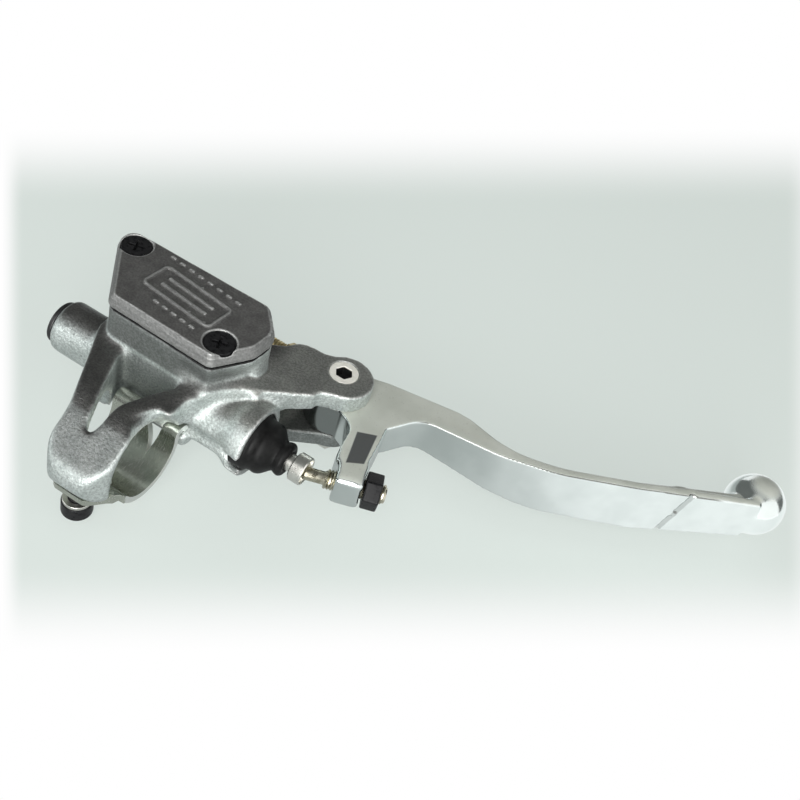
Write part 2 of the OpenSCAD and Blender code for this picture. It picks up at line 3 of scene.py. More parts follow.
import bmesh
import bpy
import numpy as np
from mathutils import Matrix, Vector


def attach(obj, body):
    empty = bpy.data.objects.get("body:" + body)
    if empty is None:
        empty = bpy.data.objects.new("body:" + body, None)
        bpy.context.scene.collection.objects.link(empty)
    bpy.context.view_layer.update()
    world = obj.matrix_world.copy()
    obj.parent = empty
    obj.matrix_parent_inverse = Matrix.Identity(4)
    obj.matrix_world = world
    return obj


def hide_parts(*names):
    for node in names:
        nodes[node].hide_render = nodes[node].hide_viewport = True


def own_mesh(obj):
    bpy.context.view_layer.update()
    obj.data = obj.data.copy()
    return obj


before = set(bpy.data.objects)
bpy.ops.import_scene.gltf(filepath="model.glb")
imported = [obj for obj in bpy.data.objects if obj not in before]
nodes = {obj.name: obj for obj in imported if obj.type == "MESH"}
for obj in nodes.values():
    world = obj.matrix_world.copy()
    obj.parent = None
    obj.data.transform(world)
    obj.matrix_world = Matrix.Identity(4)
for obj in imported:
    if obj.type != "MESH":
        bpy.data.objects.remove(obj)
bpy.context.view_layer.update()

scene = bpy.context.scene
mm = 0.001
deg = math.pi / 180

# Places that several pieces share
pivot = (0.041, 0.055)
cylinder = (0.0245, 0.003)
groove = {"across": (0.842, 0.539, -0.242), "start": 0.1764404, "inward": (-0.539, 0.842, 0.0)}

# Values of the mesh tools
relaxing = {"strength": 0.5, "normalsEvery": 4}
softening = {"segments": 2, "angle": 30, "flat": 1.0}
weldDistance = 1e-6


# Mesh tools
def newPiece(name, mesh):
    piece = bpy.data.objects.new(name, mesh)
    scene.collection.objects.link(piece)
    return piece


def meshFrom(name, points, faces):
    mesh = bpy.data.meshes.new(name)
    mesh.from_pydata([tuple(p) for p in points], [], [tuple(f) for f in faces])
    mesh.validate()
    return mesh


def mergedCopy(node, name):
    mesh = nodes[node].data.copy()
    mesh.materials.clear()
    work = bmesh.new()
    work.from_mesh(mesh)
    bmesh.ops.remove_doubles(work, verts=work.verts, dist=weldDistance)
    work.to_mesh(mesh)
    work.free()
    return newPiece(name, mesh)


def applied(piece):
    bpy.context.view_layer.update()
    graph = bpy.context.evaluated_depsgraph_get()
    mesh = bpy.data.meshes.new_from_object(piece.evaluated_get(graph))
    piece.modifiers.clear()
    piece.data = mesh
    return piece


def shadeSmooth(piece, angle=None):
    mesh = piece.data
    mesh.polygons.foreach_set("use_smooth", [True] * len(mesh.polygons))
    if angle:
        mesh.set_sharp_from_angle(angle=angle * deg)
    mesh.update()
    return piece


def coords(mesh):
    points = np.empty(len(mesh.vertices) * 3)
    mesh.vertices.foreach_get("co", points)
    return points.reshape(-1, 3)


def setCoords(mesh, points):
    mesh.vertices.foreach_set("co", points.ravel())
    mesh.update()


def normals(mesh):
    values = np.empty(len(mesh.vertices) * 3)
    mesh.vertices.foreach_get("normal", values)
    return values.reshape(-1, 3)


# Each pass moves every point part of the way to the middle of its neighbours.
# With fillOnly, points move outwards only, so inside corners fill and outer shapes keep their size
def relaxed(piece, passes, share, fillOnly=False):
    mesh = piece.data
    points = coords(mesh)
    count = len(points)
    ends = np.empty(len(mesh.edges) * 2, np.int64)
    mesh.edges.foreach_get("vertices", ends)
    a, b = ends.reshape(-1, 2).T
    near = np.bincount(ends, minlength=count).clip(1)[:, None]
    pull = (share(points, normals(mesh)) * relaxing["strength"])[:, None]
    for step in range(passes):
        total = np.stack([np.bincount(a, points[b, k], count) + np.bincount(b, points[a, k], count)
                          for k in range(3)], axis=1)
        move = total / near - points
        if fillOnly:
            if step % relaxing["normalsEvery"] == 0:
                setCoords(mesh, points)
                outward = normals(mesh)
            rise = (move * outward).sum(axis=1, keepdims=True)
            move -= outward * np.minimum(rise, 0)
        points += pull * move
    setCoords(mesh, points)
    return piece


def remeshed(piece, voxel):
    change = piece.modifiers.new("remesh", "REMESH")
    change.mode = "VOXEL"
    change.voxel_size = voxel
    return applied(piece)


def smoothStep(value, low, high):
    t = np.clip((value - low) / (high - low), 0, 1)
    return t * t * (3 - 2 * t)


# For each point, 1 inside the limits and 0 outside, where each pair runs from 0 to 1
def within(points, **limits):
    return math.prod(smoothStep(points[:, "xyz".index(axis)], low, high)
                     for axis, pairs in limits.items() for low, high in pairs)


# A copy of a CAD node with its flat faces whole and its sharp edges rounded
def softEdged(node, name, width):
    piece = mergedCopy(node, name)
    work = bmesh.new()
    work.from_mesh(piece.data)
    bmesh.ops.dissolve_limit(work, angle_limit=softening["flat"] * deg,
                             verts=work.verts, edges=work.edges)
    work.to_mesh(piece.data)
    work.free()
    change = piece.modifiers.new("bevel", "BEVEL")
    change.width = width
    change.segments = softening["segments"]
    change.limit_method = "ANGLE"
    change.angle_limit = softening["angle"] * deg
    weigh = piece.modifiers.new("weigh", "WEIGHTED_NORMAL")
    weigh.mode = "FACE_AREA_WITH_ANGLE"
    weigh.keep_sharp = True
    return applied(shadeSmooth(piece))


# A smooth curve through the knots
def curvePoints(knots, steps):
    points = [np.array(k, float) for k in knots]
    points = [2 * points[0] - points[1]] + points + [2 * points[-1] - points[-2]]
    out = []
    for i in range(1, len(points) - 2):
        a, b, c, d = points[i - 1:i + 3]
        for s in range(steps):
            t = s / steps
            out.append(0.5 * (2 * b + (c - a) * t + (2 * a - 5 * b + 4 * c - d) * t * t
                              + (3 * b - 3 * c + d - a) * t ** 3))
    return out + [points[-2]]


# A closed ring of profile points (along, radius) turned round an axis
def lathed(name, profile, origin, axis, sides=96):
    turn = Vector((0, 0, 1)).rotation_difference(Vector(axis)).to_matrix()
    points, faces = [], []
    count = len(profile)
    for i in range(sides):
        angle = 2 * math.pi * i / sides
        for along, radius in profile:
            local = Vector((radius * math.cos(angle), radius * math.sin(angle), along))
            points.append(Vector(origin) + turn @ local)
    for i in range(sides):
        j = (i + 1) % sides
        for k in range(count):
            m = (k + 1) % count
            faces.append((i * count + k, j * count + k, j * count + m, i * count + m))
    mesh = meshFrom(name, points, faces)
    work = bmesh.new()
    work.from_mesh(mesh)
    bmesh.ops.remove_doubles(work, verts=work.verts, dist=weldDistance / 10)
    bmesh.ops.recalc_face_normals(work, faces=work.faces)
    work.to_mesh(mesh)
    work.free()
    return newPiece(name, mesh)


# Shader tools
def feed(tree, value, socket):
    if isinstance(value, Wire):
        tree.links.new(value.socket, socket)
    elif isinstance(value, tuple) and socket.type == "RGBA" and len(value) == 3:
        socket.default_value = (*value, 1)
    else:
        socket.default_value = value


class Wire:
    def __init__(self, tree, socket):
        self.tree = tree
        self.socket = socket

    def other(self, kind, inputs, output=0, **settings):
        made = self.tree.nodes.new(kind)
        for key, value in settings.items():
            setattr(made, key, value)
        for key, value in inputs.items():
            feed(self.tree, value, made.inputs[key])
        return Wire(self.tree, made.outputs[output])

    def maths(self, operation, *values, clamp=False):
        inputs = dict(enumerate((self,) + values))
        return self.other("ShaderNodeMath", inputs, operation=operation, use_clamp=clamp)

    def __add__(self, value):
        return self.maths("ADD", value)

    def __mul__(self, value):
        return self.maths("MULTIPLY", value)

    def __sub__(self, value):
        return self.maths("SUBTRACT", value)

    def __rsub__(self, value):
        return self * -1 + value

    def __truediv__(self, value):
        return self.maths("DIVIDE", value)

    __radd__ = __add__
    __rmul__ = __mul__

    # 0 below low, 1 above high, and smooth between them
    def ramp(self, low, high, start=0.0, end=1.0):
        inputs = {"Value": self, "From Min": low, "From Max": high, "To Min": start, "To Max": end}
        return self.other("ShaderNodeMapRange", inputs, interpolation_type="SMOOTHSTEP")

    def mix(self, first, second):
        return self.other("ShaderNodeMix", {0: self, 6: first, 7: second}, output=2,
                          data_type="RGBA")

    def noise(self, scale, detail=2.0, roughness=0.5):
        inputs = {"Vector": self, "Scale": scale, "Detail": detail, "Roughness": roughness}
        return self.other("ShaderNodeTexNoise", inputs)

    def stretched(self, x, y, z):
        return self.other("ShaderNodeVectorMath", {0: self, 1: (x, y, z)}, operation="MULTIPLY")

    def part(self, axis):
        return self.other("ShaderNodeSeparateXYZ", {0: self}, output="XYZ".index(axis))

    def dot(self, direction):
        return self.other("ShaderNodeVectorMath", {0: self, 1: direction}, output=1,
                          operation="DOT_PRODUCT")


def newMaterial(name):
    made = bpy.data.materials.new(name)
    made.use_nodes = True
    tree = made.node_tree
    tree.nodes.clear()
    place = tree.nodes.new("ShaderNodeTexCoord")
    surface = tree.nodes.new("ShaderNodeNewGeometry")
    wires = {"place": Wire(tree, place.outputs["Object"]),
             "normal": Wire(tree, surface.outputs["Normal"]),
             "edge": Wire(tree, surface.outputs["Pointiness"])}
    return made, tree, wires


def finishMaterial(tree, shader):
    out = tree.nodes.new("ShaderNodeOutputMaterial")
    tree.links.new(shader.socket, out.inputs["Surface"])


# colour, roughness and height may each be a number or a wire
def metalMaterial(name, build, metallic, bump, **constants):
    made, tree, wires = newMaterial(name)
    colour, roughness, height, *more = build(**wires)
    metallic = more[0] if more else metallic
    inputs = {"Base Color": colour, "Roughness": roughness, "Metallic": metallic, **constants}
    inputs["Normal"] = wires["place"].other(
        "ShaderNodeBump", {"Height": height, "Distance": bump, "Strength": 1.0})
    finishMaterial(tree, wires["place"].other("ShaderNodeBsdfPrincipled", inputs))
    return made


def patchMix(patches, dark, light):
    return patches.ramp(0.3, 0.7).mix(dark, light)


# A fine noise that darkens and lightens the colour, as on sand-cast metal
def sanded(place, colour, low, high):
    sand = place.noise(*sandNoise).ramp(0.32, 0.68, low, high)
    return colour.other("ShaderNodeVectorMath", {0: colour, 3: sand}, operation="SCALE")


# 1 inside the limits and 0 outside, where each pair runs from 0 to 1
def region(place, **limits):
    return math.prod(place.part(axis.upper()).ramp(low, high)
                     for axis, pairs in limits.items() for low, high in pairs)


def fromPivot(place):
    x = place.part("X") - pivot[0]
    y = place.part("Y") - pivot[1]
    return (x * x + y * y).maths("SQRT")


sandNoise = (1500, 2, 0.6)
coarseNoise = (1100, 2, 0.5)
coarseShare = 1.6

# The casting, with painted shade on its upward faces and on a few places where shade falls
castFinish = {
    "metallic": 0.82, "bump": 0.00012, "grain": (2600, 3, 0.65), "patches": (160, 3, 0.55),
    "pits": (900, 4, 0.6), "pitColour": (0.10, 0.10, 0.10),
    # side is the lit colour; the arm and ear top colours are painted shade for upward faces
    "side": ((0.485, 0.53, 0.515), (0.585, 0.63, 0.615)),
    "armTopShade": ((0.10, 0.10, 0.097), (0.14, 0.139, 0.134)),
    "earTopShade": ((0.28, 0.285, 0.27), (0.34, 0.345, 0.325)),
    "armToEar": (0.018, 0.026), "armHeight": [(0.0125, 0.0140)],
    "foot": {"x": [(0.0092, 0.0104)], "y": [(0.0200, 0.0160)], "z": [(0.0150, 0.0138)]},
    "wornEdge": (0.515, 0.56), "wornColour": (0.72, 0.72, 0.71),
    "seam": (0.02640, 0.02665), "seamColour": (0.03, 0.03, 0.03),
    "sand": (0.80, 1.18),
    "paintedShade": [
        # painted shade on the reservoir's near wall
        {"share": 0.75, "colour": (0.13, 0.135, 0.13),
         "where": {"x": [(0.0230, 0.0170)], "y": [(0.0160, 0.0165)], "z": [(0.0165, 0.0180)]}},
        # painted shade on the block under the wall, between the arms
        {"share": 0.6, "colour": (0.14, 0.145, 0.14),
         "where": {"x": [(-0.020, -0.016), (0.009, 0.005)], "y": [(0.0120, 0.0150)],
                   "z": [(0.0168, 0.0150)]}},
        # painted shadow on the lower ear, under the upper ear
        {"share": 0.65, "colour": (0.06, 0.062, 0.06),
         "where": {"x": [(0.030, 0.034)], "z": [(-0.0005, -0.0025)]}},
    ],
}


def castLook(place, normal, edge):
    finish = castFinish
    grain = place.noise(*finish["grain"])
    patches = place.noise(*finish["patches"])
    # Upward faces, and sloped faces on the arms, take the darker top colours as painted shade; in
    # the foot region they keep the lit side colour
    armUp = normal.part("Z").ramp(0.35, 0.80) * region(place, z=finish["armHeight"])
    foot = region(place, **finish["foot"])
    up = normal.part("Z").ramp(0.55, 0.98).maths("MAXIMUM", armUp) * (1 - foot * 0.85)
    worn = edge.ramp(*finish["wornEdge"])
    pit = place.noise(*finish["pits"]).ramp(0.60, 0.70)
    side = patchMix(patches, *finish["side"])
    top = place.part("X").ramp(*finish["armToEar"]).mix(patchMix(patches, *finish["armTopShade"]),
                                                       patchMix(patches, *finish["earTopShade"]))
    colour = up.mix(side, top)
    colour = (worn * 0.75).mix(colour, finish["wornColour"])
    colour = (pit * 0.4).mix(colour, finish["pitColour"])
    # mixes in the painted shade of each of these places
    for spot in finish["paintedShade"]:
        colour = (region(place, **spot["where"]) * spot["share"]).mix(colour, spot["colour"])
    colour = place.part("Z").ramp(*finish["seam"]).mix(colour, finish["seamColour"])
    colour = sanded(place, colour, *finish["sand"])
    rough = grain.ramp(0.35, 0.7, 0.40, 0.56) - worn * 0.10
    return colour, rough, grain + place.noise(*coarseNoise) * coarseShare


coverFinish = {
    "metallic": 0.6, "bump": 0.0001, "grain": (3000, 3, 0.65), "patches": (220, 3, 0.6),
    "top": ((0.125, 0.123, 0.12), (0.175, 0.172, 0.168)), "side": (0.21, 0.212, 0.208),
    "wornEdge": (0.507, 0.535), "wornColour": (0.62, 0.63, 0.62),
    "seam": (0.02830, 0.02805), "seamColour": (0.03, 0.03, 0.03), "sand": (0.84, 1.16),
}


def coverLook(place, normal, edge):
    finish = coverFinish
    grain = place.noise(*finish["grain"])
    patches = place.noise(*finish["patches"])
    # The cover's own colour is dark; its upward faces are made darker still, as painted shade
    up = normal.part("Z").ramp(0.5, 0.95)
    colour = up.mix(finish["side"], patchMix(patches, *finish["top"]))
    colour = (edge.ramp(*finish["wornEdge"]) * 0.6).mix(colour, finish["wornColour"])
    colour = place.part("Z").ramp(*finish["seam"]).mix(colour, finish["seamColour"])
    colour = sanded(place, colour, *finish["sand"])
    height = grain + place.noise(*coarseNoise) * coarseShare
    return colour, grain.ramp(0.3, 0.7, 0.42, 0.56), height


# The lever: bright sides, a satin top, darker places on the tail and groove, and painted shade on
# the hub and upper rim
polishedFinish = {
    "metallic": 1.0, "bump": 0.000004, "patches": (90, 2, 0.5), "specks": (1500, 3, 0.7),
    "bright": ((0.76, 0.81, 0.80), (0.84, 0.89, 0.88)),
    "matte": ((0.62, 0.645, 0.58), (0.72, 0.745, 0.68)), "speckColour": (0.28, 0.26, 0.23),
    "hubEdge": (0.0112, 0.0104), "hubShadeColour": (0.30, 0.32, 0.315),
    "tail": [(58.0, 30.2), (62.9, 33.5), (60.3, 46.2), (54.4, 43.2)], "tailFade": 0.0004,
    "tailColour": (0.11, 0.115, 0.115),
    "grooveEdge": (0.0013, 0.0008), "grooveEnd": (-0.0012, -0.0018),
    "grooveColour": (0.34, 0.36, 0.35),
    "rimSlope": [(0.28, 0.45), (0.95, 0.80)], "rimLength": [(0.066, 0.070), (0.162, 0.158)],
    "rimShadeColour": (0.14, 0.14, 0.13),
}


def polishedLook(place, normal, edge):
    finish = polishedFinish
    brush = place.stretched(1, 1, 12).noise(900, 3, 0.6)
    patches = place.noise(*finish["patches"])
    speck = place.noise(*finish["specks"]).ramp(0.62, 0.72)
    up = normal.part("Z").ramp(0.80, 0.97)
    bright = patchMix(patches, *finish["bright"])
    # painted shade on the hub, round the pivot
    bright = fromPivot(place).ramp(*finish["hubEdge"]).mix(bright, finish["hubShadeColour"])
    matte = patchMix(patches, *finish["matte"])
    matte = (speck * 0.5).mix(matte, finish["speckColour"])
    tail = 1.0
    corners = finish["tail"]
    for (ax, ay), (bx, by) in zip(corners, corners[1:] + corners[:1]):
        span = math.hypot(bx - ax, by - ay)
        across = ((ay - by) / span, (bx - ax) / span, 0.0)
        start = (ax * across[0] + ay * across[1]) * mm
        tail = place.dot(across).ramp(start, start + finish["tailFade"]) * tail
    matte = tail.mix(matte, finish["tailColour"])
    off = (place.dot(groove["across"]) - groove["start"]).maths("ABSOLUTE")
    cut = off.ramp(*finish["grooveEdge"]) * place.dot(groove["inward"]).ramp(*finish["grooveEnd"])
    bright = (cut * 0.5).mix(bright, finish["grooveColour"])
    # painted shade on upward-sloping faces along the blade's upper rim
    rim = region(normal, z=finish["rimSlope"]) * region(place, x=finish["rimLength"])
    bright = (rim * 0.85).mix(bright, finish["rimShadeColour"])
    rough = up * 0.28 + brush.ramp(0.3, 0.7, 0.13, 0.21)
    return up.mix(bright, matte), rough, brush + speck * 0.6, 1 - up * 0.70


# The pivot bolt's plated ring, with painted shade in its socket
boltFinish = {
    "metallic": 0.1, "bump": 0.000005, "plate": ((0.88, 0.86, 0.78), (0.96, 0.94, 0.87)),
    "socketEdge": (0.0031, 0.0028), "socketTop": (0.0156, 0.0152),
    "socketShadeColour": (0.012, 0.012, 0.012),
}


def boltLook(place, normal, edge):
    patches = place.noise(600, 3, 0.6)
    # the inside of the socket is painted near black as shade
    socket = fromPivot(place).ramp(*boltFinish["socketEdge"])
    socket = socket * place.part("Z").ramp(*boltFinish["socketTop"])
    colour = socket.mix(patchMix(patches, *boltFinish["plate"]), boltFinish["socketShadeColour"])
    return colour, patches.ramp(0.3, 0.7, 0.34, 0.46), place.noise(2500, 2, 0.5)


# The strap is drawn lengthwise, and its two sawn edges are lighter
strapFinish = {
    "metallic": 1.0, "bump": 0.000004, "plate": ((0.58, 0.60, 0.53), (0.68, 0.70, 0.63)),
    "cutSlope": (0.85, 0.98), "cutColour": (0.92, 0.93, 0.90),
}


def strapLook(place, normal, edge):
    patches = place.noise(260, 3, 0.6)
    lines = place.stretched(12, 1, 1).noise(500, 3, 0.6)
    cut = normal.part("X").maths("ABSOLUTE").ramp(*strapFinish["cutSlope"])
    colour = cut.mix(patchMix(patches, *strapFinish["plate"]), strapFinish["cutColour"])
    return colour, lines.ramp(0.3, 0.7, 0.18, 0.28) + cut * 0.15, lines


# Finishes that differ only in their numbers
zincFinish = {"patches": 600, "dark": (0.82, 0.81, 0.76), "light": (0.88, 0.87, 0.82),
              "rough": (0.27, 0.33), "grain": (2500, 2, 0.5), "metallic": 1.0, "bump": 0.000005}
plainFinishes = {
    "zinc": ("zincSteel", zincFinish),
    "machined": ("machinedAlloy", zincFinish),
    "spring": ("springSteel", {**zincFinish, "bump": 0.000004}),
    "yellowZinc": ("yellowZinc", {
        "patches": 700, "dark": (0.44, 0.41, 0.31), "light": (0.66, 0.63, 0.52),
        "rough": (0.22, 0.36), "grain": (2200, 2, 0.5), "metallic": 1.0, "bump": 0.000005}),
    "brass": ("brass", {
        "patches": 500, "dark": (0.50, 0.40, 0.20), "light": (0.66, 0.56, 0.32),
        "rough": (0.26, 0.40), "grain": (2200, 2, 0.5), "metallic": 1.0, "bump": 0.000005}),
    "blackSteel": ("blackSteel", {
        "patches": 700, "dark": (0.008, 0.008, 0.009), "light": (0.018, 0.018, 0.019),
        "rough": (0.24, 0.40), "grain": (2400, 2, 0.5), "metallic": 0.0, "bump": 0.000006,
        "specular": 0.16}),
    "rubber": ("rubber", {
        "patches": 350, "dark": (0.006, 0.006, 0.006), "light": (0.013, 0.013, 0.013),
        "rough": (0.34, 0.52), "grain": (1600, 3, 0.6), "metallic": 0.0, "bump": 0.00002,
        "specular": 0.14}),
    "plastic": ("blackPlastic", {
        "patches": 400, "dark": (0.012, 0.012, 0.013), "light": (0.024, 0.024, 0.025),
        "rough": (0.38, 0.52), "grain": (1800, 2, 0.6), "metallic": 0.0, "bump": 0.00002}),
}


def plainMaterial(name, finish):
    def look(place, normal, edge):
        patches = place.noise(finish["patches"], 3, 0.6)
        colour = patchMix(patches, finish["dark"], finish["light"])
        return colour, patches.ramp(0.3, 0.7, *finish["rough"]), place.noise(*finish["grain"])

    constants = {"Specular IOR Level": finish["specular"]} if "specular" in finish else {}
    return metalMaterial(name, look, finish["metallic"], finish["bump"], **constants)


materials = {}
for look, name, build, finish in (("cast", "castAlloy", castLook, castFinish),
                                  ("cover", "coverAlloy", coverLook, coverFinish),
                                  ("polished", "polishedAlloy", polishedLook, polishedFinish),
                                  ("strap", "platedSteel", strapLook, strapFinish),
                                  ("bolt", "boltZinc", boltLook, boltFinish)):
    materials[look] = metalMaterial(name, build, finish["metallic"], finish["bump"])
for look, (name, finish) in plainFinishes.items():
    materials[look] = plainMaterial(name, finish)
nodeLooks = {
    "cylinder_body": "cast", "reservoir_cover": "cover", "diaphragm": "rubber",
    "cover_screws": "blackSteel", "clamp_strap": "strap", "clamp_screw": "blackSteel",
    "clamp_washer": "zinc", "hose_port_plug": "plastic", "port_baffle": "spring",
    "pivot_bolt": "bolt", "pivot_nut": "zinc", "switch_barrel": "brass",
    "switch_locknut": "brass", "switch_plunger": "zinc", "retaining_ring": "spring",
    "piston": "machined", "primary_cup": "rubber", "secondary_seal": "rubber",
    "spring_seat": "brass", "return_spring": "spring", "pushrod": "zinc",
    "dust_boot": "rubber", "lever": "polished", "pivot_bushing": "brass",
    "adjuster_screw": "yellowZinc", "adjuster_locknut": "blackSteel", "thrust_washers": "brass",
}
for node, look in nodeLooks.items():
    mesh = nodes[node].data
    mesh.materials.clear()
    mesh.materials.append(materials[look])
print("stage: materials")


def finished(piece, body, look, *replaced):
    piece.data.materials.clear()
    piece.data.materials.append(materials[look])
    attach(piece, body)
    if replaced:
        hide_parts(*replaced)
    return piece


# Casting. Its share functions say how far the relaxing moves each point
casting = {"voxel": 0.00055, "passes": 5, "armPasses": 14, "fillPasses": 26, "lastPasses": 3,
           "lean": 0.0021, "bore": 0.0111, "least": 0.12,
           "boreEdge": (0.0003, 0.0016), "eyeEdge": (0.0052, 0.0066),
           "mouth": (0.0312, 0.0300), "mouthRadius": 0.0125, "rim": (0.0262, 0.0268),
           "bandTop": [(7.2, 6.2, 15.2), (9.1, 9.6, 15.6), (10.8, 13.5, 16.1), (13.6, 18.0, 16.8),
                       (17.9, 22.2, 17.4), (22.3, 26.9, 17.5), (28.9, 32.1, 16.9),
                       (35.7, 37.7, 16.3), (39.5, 40.9, 15.9), (39, 45, 15.9), (34, 41, 16.0),
                       (22, 36, 17.0), (12, 27, 17.2), (10.5, 20, 16.6), (8.5, 15.5, 16.0),
                       (7.5, 10, 15.5)],
           "bandFoot": [(8.2, 5.4, 12.6), (10.6, 8.6, 10.6), (12.8, 12.4, 8.0), (15.4, 16.8, 6.0),
                        (19.4, 20.8, 6.0), (23.6, 25.8, 6.5), (29.6, 31.7, 9.2),
                        (36.0, 37.6, 9.2), (39.8, 41.0, 9.2), (39, 45, 9.2), (34, 41, 9.2),
                        (22, 36, 6.0), (12, 27, 6.0), (10.5, 20, 6.0), (8.5, 15.5, 8.0),
                        (7.5, 10, 12.0)],
           "ledge": {"x": [(0.010, 0.012), (0.040, 0.036)], "y": [(0.042, 0.038)],
                     "z": [(0.012, 0.014)]},
           "crest": {"x": [(0.007, 0.010)], "y": [(0.012, 0.017)], "z": [(0.012, 0.014)]},
           "armEnd": [(0.030, 0.016)],
           "wall": [(0, 17.8), (14.2, 17.5), (16.6, 18.8), (22.4, 28.2), (23.4, 31.0)],
           "wallReach": (0.0016, 0.0011),
           "wallPlace": {"x": [(0.004, 0.009)], "z": [(0.0172, 0.0184), (0.0255, 0.0205)]}}


def castingShare(points, normal):
    x, y, z = points.T
    share = smoothStep(np.hypot(y, z) - casting["bore"], *casting["boreEdge"])
    share *= smoothStep(np.hypot(x - pivot[0], y - pivot[1]), *casting["eyeEdge"])
    barrel = np.hypot(y - cylinder[0], z - cylinder[1])
    inBarrel = barrel < casting["mouthRadius"]
    share *= np.where(inBarrel, smoothStep(x, *casting["mouth"]), 1)
    share *= 1 - 0.5 * smoothStep(z, *casting["rim"])
    return casting["least"] + (1 - casting["least"]) * share


# The ledge over the band keeps its edge, so little is filled in there
def fillShare(points, normal):
    return castingShare(points, normal) * (1 - 0.88 * within(points, **casting["ledge"]))


def armShare(points, normal):
    crest = within(points, **casting["crest"])
    return castingShare(points, normal) * within(points, y=casting["armEnd"]) * (1 - 0.85 * crest)


# The band that runs from the right arm to the ear, under the reservoir
def addPrism(piece, upper, lower):
    work = bmesh.new()
    work.from_mesh(piece.data)
    bottom = [work.verts.new([v * mm for v in point]) for point in lower]
    top = [work.verts.new([v * mm for v in point]) for point in upper]
    count = len(upper)
    sides = []
    for i in range(count):
        j = (i + 1) % count
        sides.append(work.faces.new((bottom[i], bottom[j], top[j], top[i])))
    caps = [work.faces.new(bottom[::-1]), work.faces.new(top)]
    caps = bmesh.ops.triangulate(work, faces=caps)["faces"]
    bmesh.ops.recalc_face_normals(work, faces=sides + caps)
    work.to_mesh(piece.data)
    work.free()


# Leans the reservoir's near wall in under its rim, so that the band keeps a ledge of its own
def leanWall(piece):
    points = coords(piece.data)
    x, y, z = points.T
    gap = np.full(len(points), 1.0)
    for (ax, ay), (bx, by) in zip(casting["wall"], casting["wall"][1:]):
        ax, ay, bx, by = (v * mm for v in (ax, ay, bx, by))
        span = (bx - ax) ** 2 + (by - ay) ** 2
        t = np.clip(((x - ax) * (bx - ax) + (y - ay) * (by - ay)) / span, 0, 1)
        gap = np.minimum(gap, np.hypot(x - ax - t * (bx - ax), y - ay - t * (by - ay)))
    share = smoothStep(gap, *casting["wallReach"]) * within(points, **casting["wallPlace"])
    outward = normals(piece.data) * (1, 1, 0)
    setCoords(piece.data, points - outward * (share * casting["lean"])[:, None])


bodyCasting = mergedCopy("cylinder_body", "bodyCasting")
addPrism(bodyCasting, casting["bandTop"], casting["bandFoot"])
remeshed(bodyCasting, casting["voxel"])
leanWall(bodyCasting)
relaxed(bodyCasting, casting["passes"], castingShare)
relaxed(bodyCasting, casting["armPasses"], armShare)
relaxed(bodyCasting, casting["fillPasses"], fillShare, fillOnly=True)
relaxed(bodyCasting, casting["lastPasses"], castingShare)
finished(shadeSmooth(bodyCasting), "body", "cast", "cylinder_body")
print("stage: casting", len(bodyCasting.data.polygons))

# Cover, with a frame, two bars and two rows of dashes raised on it, each row as
# place across, first, last and number
cover = {"voxel": 0.00030, "passes": 16, "top": 0.032, "sunk": 0.0008, "raise": 0.00050,
         "centre": (-0.0040, 0.0335), "turn": -6.0, "edge": (0.0318, 0.0320), "shoulder": 0.0001,
         "half": (0.0125, 0.0052), "corner": 0.0016, "frameSteps": 64, "frameWidth": 0.0010,
         "bars": (-0.0016, 0.0016), "barHalf": 0.0085, "barWidth": 0.0011,
         "rows": ((0.0092, -0.0150, 0.0105, 8), (-0.0085, -0.0050, 0.0085, 5)),
         "dash": 0.0018, "dashWidth": 0.0008}


# A raised bar along a path, with sloping sides
def raisedLine(work, path, width, low, high, closed=False):
    rows = []
    count = len(path)
    below = high - cover["shoulder"]
    section = ((-1, low), (-0.8, below), (-0.45, high), (0.45, high), (0.8, below), (1, low))
    for i, p in enumerate(path):
        before = path[i - 1] if closed or i else p
        after = path[(i + 1) % count] if closed or i < count - 1 else p
        along = (Vector(after) - Vector(before)).normalized()
        across = Vector((-along.y, along.x))
        row = []
        for offset, height in section:
            at = Vector(p) + across * offset * width / 2
            row.append(work.verts.new((at.x, at.y, height)))
        rows.append(row)
    pairs = [(i, (i + 1) % count) for i in range(count if closed else count - 1)]
    for i, j in pairs:
        for k in range(len(section)):
            m = (k + 1) % len(section)
            work.faces.new((rows[i][k], rows[i][m], rows[j][m], rows[j][k]))
    if not closed:
        work.faces.new(rows[0][::-1])
        work.faces.new(rows[-1])


def coverPoint(u, v):
    turn = cover["turn"] * deg
    x, y = cover["centre"]
    return (x + u * math.cos(turn) - v * math.sin(turn),
            y + u * math.sin(turn) + v * math.cos(turn))


def frameRing():
    radius = cover["corner"]
    ring = []
    for i in range(cover["frameSteps"]):
        angle = 2 * math.pi * (i + 0.5) / cover["frameSteps"]
        u = math.copysign(cover["half"][0] - radius, math.cos(angle))
        v = math.copysign(cover["half"][1] - radius, math.sin(angle))
        ring.append(coverPoint(u + radius * math.cos(angle), v + radius * math.sin(angle)))
    return ring


def coverShare(points, normal):
    return 1 - 0.88 * smoothStep(points[:, 2], *cover["edge"])


coverCasting = mergedCopy("reservoir_cover", "coverCasting")
work = bmesh.new()
work.from_mesh(coverCasting.data)
low, high = cover["top"] - cover["sunk"], cover["top"] + cover["raise"]
raisedLine(work, frameRing(), cover["frameWidth"], low, high, closed=True)
for v in cover["bars"]:
    path = [coverPoint(u, v) for u in np.linspace(-cover["barHalf"], cover["barHalf"], 6)]
    raisedLine(work, path, cover["barWidth"], low, high)
for v, first, last, count in cover["rows"]:
    for u in np.linspace(first, last, count):
        path = [coverPoint(u + part * cover["dash"], v) for part in (0, 0.5, 1)]
        raisedLine(work, path, cover["dashWidth"], low, high)
bmesh.ops.recalc_face_normals(work, faces=work.faces)
work.to_mesh(coverCasting.data)
work.free()
remeshed(coverCasting, cover["voxel"])
relaxed(coverCasting, cover["passes"], coverShare)
finished(shadeSmooth(coverCasting), "body", "cover", "reservoir_cover")
